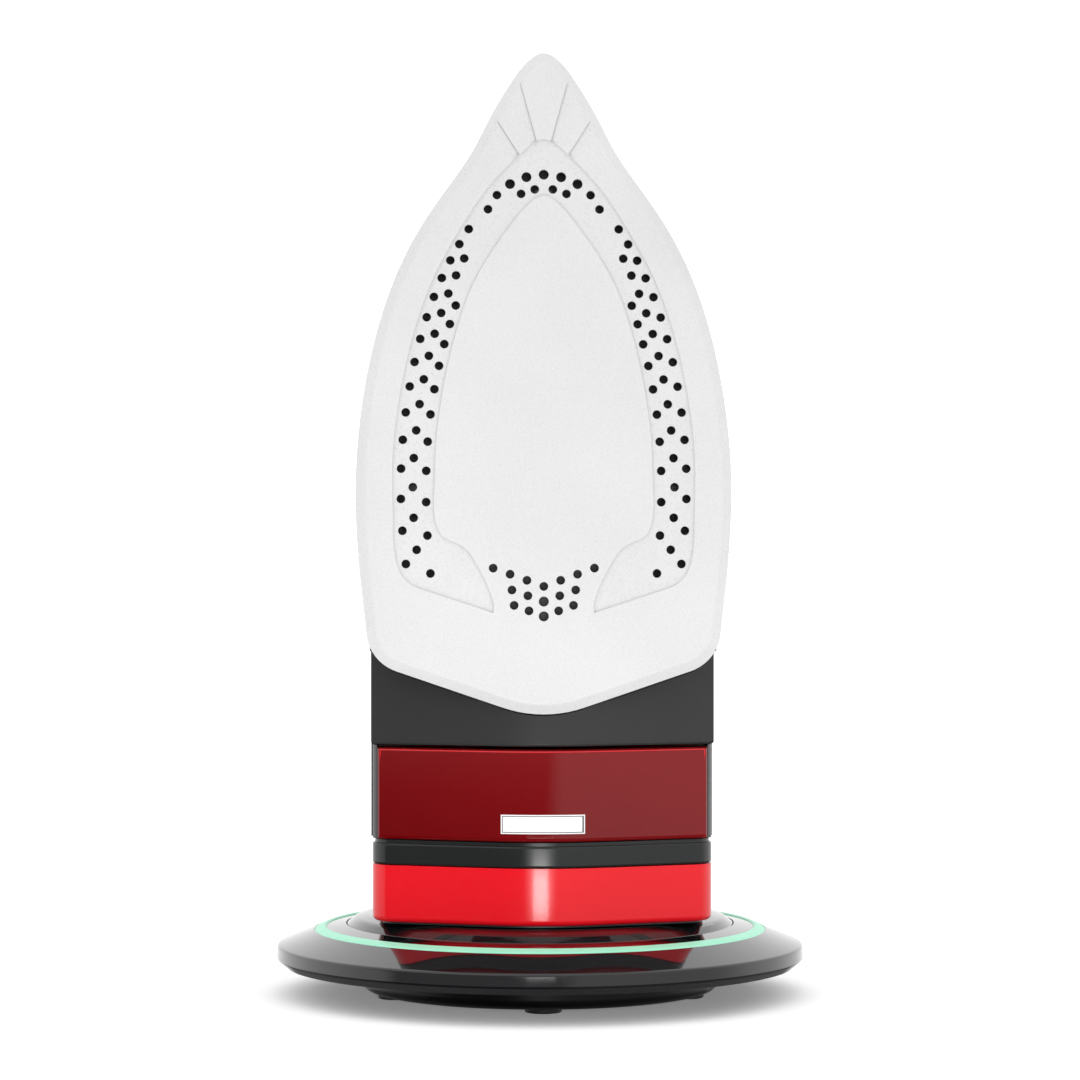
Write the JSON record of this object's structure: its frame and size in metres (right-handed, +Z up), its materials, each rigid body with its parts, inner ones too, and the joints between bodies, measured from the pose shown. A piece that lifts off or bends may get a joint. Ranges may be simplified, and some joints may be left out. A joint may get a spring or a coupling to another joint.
{
  "type": "cordless steam iron on dock",
  "caption": "Cordless steam iron stood on its heel on a round lit dock that it turns on and lifts from, with perforated ceramic soleplate, tinted tank, loop handle, dial and steam controls.",
  "frame": {"origin": "centre of the dock's underside, at the level of its feet", "axes": "+Z up the dock's axis and along the iron from heel to nose, -Y the way the soleplate faces, +Y the handle side, +X the iron's right seen from the soleplate"},
  "size_m": [0.175, 0.175, 0.3051],
  "materials": {
    "gloss_black": "gloss moulded, piano black",
    "satin_black": "fine satin moulded",
    "gloss_red": "gloss moulded, bright red",
    "tank_red": "dark red tinted translucent moulding",
    "ring_glow": "frosted diffuser, lit pale green",
    "foot_rubber": "matt moulded rubber",
    "clear_rubber": "soft silicone tube",
    "brass": "turned and polished",
    "spring_steel": "drawn wire",
    "zinc_steel": "zinc plated",
    "cast_aluminium": "as cast",
    "sheet_steel": "rolled sheet",
    "sole_ceramic": "smooth glazed coat on aluminium",
    "white_ceramic": "unglazed insulator",
    "board_green": "solder mask over glass fibre",
    "white_print": "pad printed"
  },
  "bodies": {
    "base": {"dock_tray": "satin_black", "dock_cover": "gloss_black", "dock_feet": "foot_rubber", "dock_screws": "zinc_steel", "light_ring": "ring_glow", "led_board": "board_green", "cord_gland": "foot_rubber", "dock_spigot": "satin_black", "dock_contacts": "brass"},
    "turntable": {"turntable": "gloss_black"},
    "iron": {"soleplate": "sole_ceramic", "heater_casting": "cast_aluminium", "heating_element": "sheet_steel", "chamber_cover": "sheet_steel", "thermostat": "white_ceramic", "thermal_fuse": "sheet_steel", "drip_valve": "brass", "valve_grommet": "clear_rubber", "casting_screws": "zinc_steel", "skirt": "satin_black", "water_tank": "tank_red", "side_cheeks": "satin_black", "fill_funnel": "satin_black", "deck": "gloss_black", "dial_pointer": "white_print", "heel_plate": "satin_black", "heel_cap": "gloss_red", "heel_screws": "zinc_steel", "heel_socket": "satin_black", "socket_contacts": "brass", "heel_band": "gloss_black", "handle_shell": "satin_black", "handle_cover": "gloss_red", "control_panel": "gloss_black", "pump_block": "satin_black", "pump_hoses": "clear_rubber", "spray_hose": "clear_rubber", "spray_nozzle": "satin_black", "door_pin": "zinc_steel", "spray_spring": "spring_steel", "steam_spring": "spring_steel"},
    "dial": {"temperature_dial": "satin_black"},
    "spray_key": {"spray_button": "gloss_red", "spray_plunger": "satin_black"},
    "steam_key": {"steam_button": "gloss_red", "steam_plunger": "satin_black"},
    "slider": {"steam_slider": "gloss_red"},
    "needle": {"steam_needle": "brass"},
    "door": {"fill_door": "tank_red"}
  },
  "joints": [
    {"name": "dock_turn", "type": "hinge", "parent": "base", "child": "turntable", "pos_m": [0, 0, 0.0267], "axis": [0, 0, 1], "continuous": true},
    {"name": "dock_lift", "type": "slide", "parent": "turntable", "child": "iron", "axis": [0, 0, 1], "range_m": [0, 0.08]},
    {"name": "temperature_dial_turn", "type": "hinge", "parent": "iron", "child": "dial", "pos_m": [0, 0.005, 0.1496], "axis": [0, 1, 0], "range_deg": [0, 270]},
    {"name": "steam_slide", "type": "slide", "parent": "iron", "child": "slider", "axis": [0, -0.5913, 0.8064], "range_m": [0, 0.009]},
    {"name": "steam_needle_lift", "type": "slide", "parent": "iron", "child": "needle", "axis": [0, 1, 0], "range_m": [0, 0.0025]},
    {"name": "spray_button_press", "type": "slide", "parent": "iron", "child": "spray_key", "axis": [0, -0.9684, -0.2496], "range_m": [0, 0.0035], "stiffness_N_per_m": 400, "springref_m": -0.003, "deforming": ["spray_spring"]},
    {"name": "steam_button_press", "type": "slide", "parent": "iron", "child": "steam_key", "axis": [0, -0.9684, -0.2496], "range_m": [0, 0.0035], "stiffness_N_per_m": 400, "springref_m": -0.003, "deforming": ["steam_spring"]},
    {"name": "fill_door_swing", "type": "hinge", "parent": "iron", "child": "door", "pos_m": [0, 0.02585, 0.26168], "axis": [-1, 0, 0], "range_deg": [0, 100]}
  ],
  "couplings": [
    {"joint": "steam_needle_lift", "follows": "steam_slide", "ratio": 0.27778}
  ]
}
